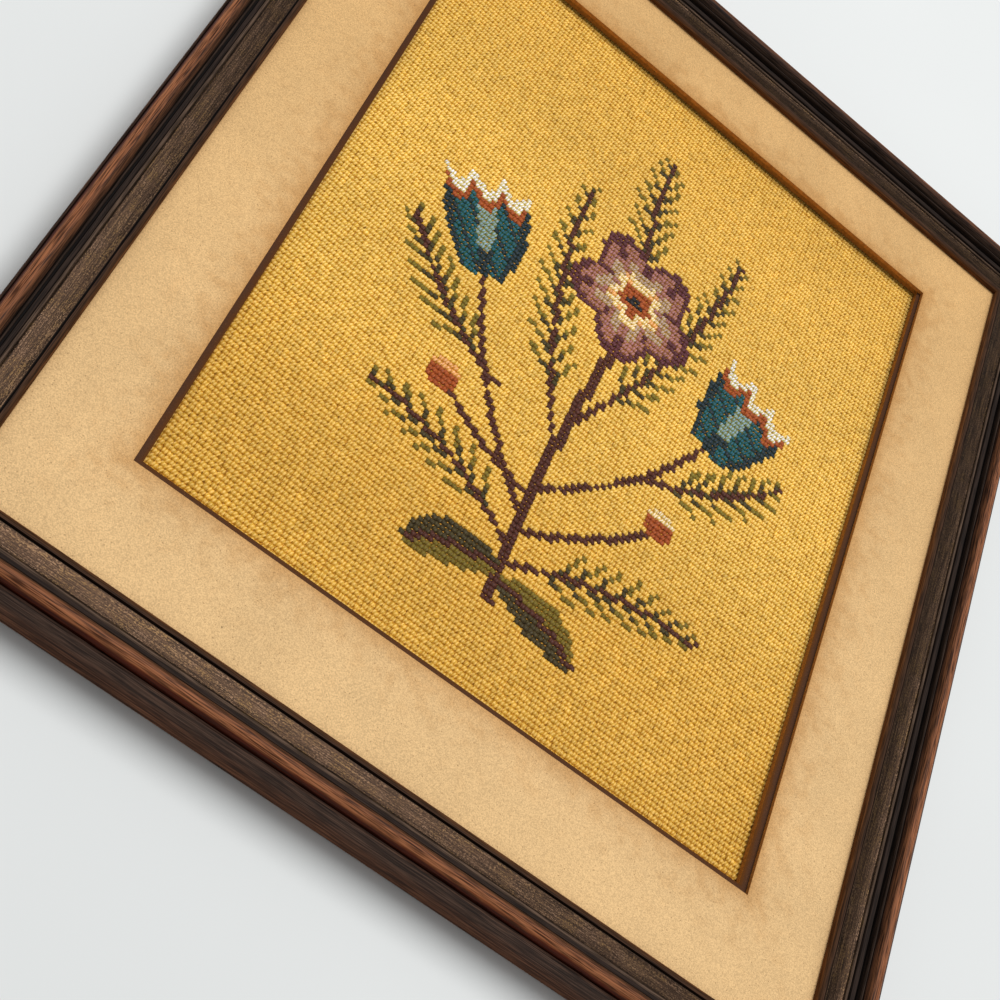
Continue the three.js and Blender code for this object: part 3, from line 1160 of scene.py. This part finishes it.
def ramp(tree, position, stops):
    """A colour ramp with the given (position, sRGB colour) stops."""
    made = add(tree, "ShaderNodeValToRGB", {"Fac": position})
    elements = made.color_ramp.elements
    while len(elements) < len(stops):
        elements.new(0.5)
    for element, (place, colour) in zip(elements, stops):
        element.position = place
        element.color = linear(colour)
    return made.outputs["Color"]


print(len(MOULDING_BANDS), "stops across the moulding")

# %% Rail finish: the stain and its streaks
rail_finish, tree, shader = new_material("stained_moulding", 0.7)
section = attribute(tree, "section", "Vector")
out, up = parts(tree, section)[1:]


def streaked(length, width, detail):
    """Streaks along the rail, of that length and width in millimetres."""
    sizes = {"Length": length, "Width": width, "Detail": detail}
    return place_group(tree, streaks, Vector=section, **sizes)


long_streaks = streaked(30.0, 0.62, 4.0)
fine_streaks = streaked(10.0, 0.30, 3.0)
fibres = streaked(14.0, 0.45, 4.0)
on_bead = within(tree, out, 15.2, 15.8, 21.1, 21.4)
rub = attribute(tree, "rub", "Fac")
ragged = maths(tree, "ADD", long_streaks, maths(tree, "MULTIPLY", fine_streaks, 1.3))
shake = maths(tree, "MULTIPLY", maths(tree, "SUBTRACT", ragged, 1.15), 1.4)
shake = maths(tree, "MULTIPLY", maths(tree, "SUBTRACT", shake, rub), on_bead)
shaken_out = maths(tree, "ADD", out, shake)
stops = [(place / MOULDING_WIDTH, colour) for place, colour in MOULDING_BANDS]
stain = ramp(tree, maths(tree, "DIVIDE", shaken_out, MOULDING_WIDTH), stops)
scratches = fade(tree, fine_streaks, 0.38, 0.62, 0.50, 1.50)
stain = tinted(tree, stain, scratches)
print("stain:", len(tree.nodes), "nodes")

# %% Rail finish: the rubbed bead
RUBBED_TINT, SMEARED_TINT = (1.18, 1.13, 1.06, 1.0), (0.58, 0.47, 0.42, 1.0)
CHIP_COLOUR = linear((0.66, 0.52, 0.42))

clean, smeared = tinted(tree, stain, RUBBED_TINT), tinted(tree, stain, SMEARED_TINT)
bead = mix(tree, fade(tree, ragged, 0.90, 1.16), smeared, clean)
stain = mix(tree, on_bead, stain, bead)
chips = place_group(tree, specks, Vector=section, Spacing=7.0, Size=0.55, Share=0.12)
chipped = maths(tree, "MULTIPLY", chips, on_bead)
stain = mix(tree, chipped, stain, CHIP_COLOUR)
print("with the bead:", len(tree.nodes), "nodes")

# %% Rail finish: the speckled field
BRONZE, GREENER_BRONZE = linear((0.385, 0.30, 0.235)), linear((0.365, 0.28, 0.175))
PORE_BLACK = (0.016, 0.010, 0.007, 1.0)

on_field = within(tree, out, 3.0, 3.4, 10.4, 11.0)
flecks = streaked(0.72, 0.30, 2.0)
patches = place_group(tree, clouds, Vector=section, Size=6.0, Low=0.0, High=1.0)
bronze = mix(tree, patches, BRONZE, GREENER_BRONZE)
brushed = maths(tree, "ADD", flecks, maths(tree, "MULTIPLY", fibres, 0.7))
field = mix(tree, fade(tree, brushed, 0.86, 1.04), stain, bronze)
field = mix(tree, fade(tree, brushed, 0.79, 0.63, 0.0, 0.8), field, PORE_BLACK)
stain = mix(tree, on_field, stain, field)
print("with the field:", len(tree.nodes), "nodes")

# %% Rail finish: the outer face and the bare back
UPPER_FACE, LOWER_FACE = linear((0.30, 0.222, 0.18)), linear((0.335, 0.22, 0.16))
WIPED_FACE = linear((0.39, 0.255, 0.18))
LATE_WOOD, EARLY_WOOD = (0.52, 0.49, 0.49, 1.0), (1.46, 1.44, 1.42, 1.0)
RAW_DARK, RAW_LIGHT = linear((0.60, 0.44, 0.28)), linear((0.72, 0.56, 0.38))

side_grain = fade(tree, maths(tree, "ADD", fibres, long_streaks), 0.92, 1.08)
face = mix(tree, fade(tree, up, 13.0, 7.0), UPPER_FACE, LOWER_FACE)
face = mix(tree, fade(tree, up, 5.9, 5.1), face, WIPED_FACE)
face = tinted(tree, face, scratches)
face = mix(tree, side_grain, tinted(tree, face, LATE_WOOD), tinted(tree, face, EARLY_WOOD))
on_face = maths(tree, "MAXIMUM", fade(tree, out, 22.1, 22.3), fade(tree, up, 11.5, 10.5))
stain = mix(tree, on_face, stain, face)

raw = tinted(tree, mix(tree, side_grain, RAW_DARK, RAW_LIGHT), scratches)
in_rabbet = maths(tree, "MULTIPLY", fade(tree, out, 6.0, 5.6), fade(tree, up, 13.6, 13.1))
at_back = maths(tree, "MAXIMUM", fade(tree, up, 0.25, 0.05), in_rabbet)
stain = mix(tree, at_back, stain, raw)
tree.links.new(stain, shader.inputs["Base Color"])
print("with the face and the back:", len(tree.nodes), "nodes")

# %% Rail finish: gloss and relief
DULL = 0.74
GLOSSIER = ((on_field, 0.40), (on_bead, 0.22), (on_face, 0.12))

roughness = DULL
for where, amount in GLOSSIER:
    roughness = maths(tree, "SUBTRACT", roughness, maths(tree, "MULTIPLY", where, amount))
uneven = fade(tree, fine_streaks, 0.3, 0.7, -0.06, 0.06)
tree.links.new(maths(tree, "ADD", roughness, uneven), shader.inputs["Roughness"])
tree.links.new(maths(tree, "MULTIPLY", on_field, 0.7), shader.inputs["Metallic"])
shader.inputs["Specular IOR Level"].default_value = 0.1
heights = {0: on_field, 2: fine_streaks, 3: flecks}
relief = add(tree, "ShaderNodeMix", heights, data_type="FLOAT").outputs[0]
emboss(tree, shader, relief, strength=0.6, depth=mm(0.08))

for node, mesh in rail_meshes.items():
    new_piece(node.replace("rail_", "moulding_"), mesh, rail_finish, [node])
print("rail finish:", len(tree.nodes), "nodes, on", len(rail_meshes), "rails")

# %% [markdown]
# ## The backing board
# A plain grey-brown fibre board closes the back. Pulp board is felted from short fibres that
# lie every way, so it is finely mottled, with a few darker scraps of recycled paper.

# %% Backing finish
PULP_DARK, PULP_LIGHT = linear((0.46, 0.39, 0.31)), linear((0.62, 0.54, 0.43))
SCRAP_COLOUR = linear((0.24, 0.20, 0.17))

backing_finish, tree, shader = new_material("grey_board", 0.92)
places = object_millimetres(tree)
mottle = noise(tree, places, 0.9, 5.0, 0.7)
felted = mix(tree, fade(tree, mottle, 0.32, 0.68), PULP_DARK, PULP_LIGHT)
cloud = place_group(tree, clouds, Vector=places, Size=48.0, Low=0.92, High=1.05)
felted = tinted(tree, felted, cloud)
scraps = place_group(tree, specks, Vector=places, Spacing=5.0, Size=0.5, Share=0.3)
scrap_mask = maths(tree, "MULTIPLY", scraps, 0.6)
felted = mix(tree, scrap_mask, felted, SCRAP_COLOUR)
tree.links.new(felted, shader.inputs["Base Color"])
emboss(tree, shader, mottle, strength=0.4, depth=mm(0.1))
print("backing finish of", len(tree.nodes), "nodes")

# %% Backing board
bm = whole_copy("backing_board")
softened(bm, [e for e in bm.edges if e.calc_face_angle(0) > math.radians(60)], mm(0.25))
backing_mesh = shaded(mesh_of(bm, "backing"), 40)
new_piece("backing", backing_mesh, backing_finish, ["backing_board"])
print(f"backing board of {len(backing_mesh.polygons)} faces")
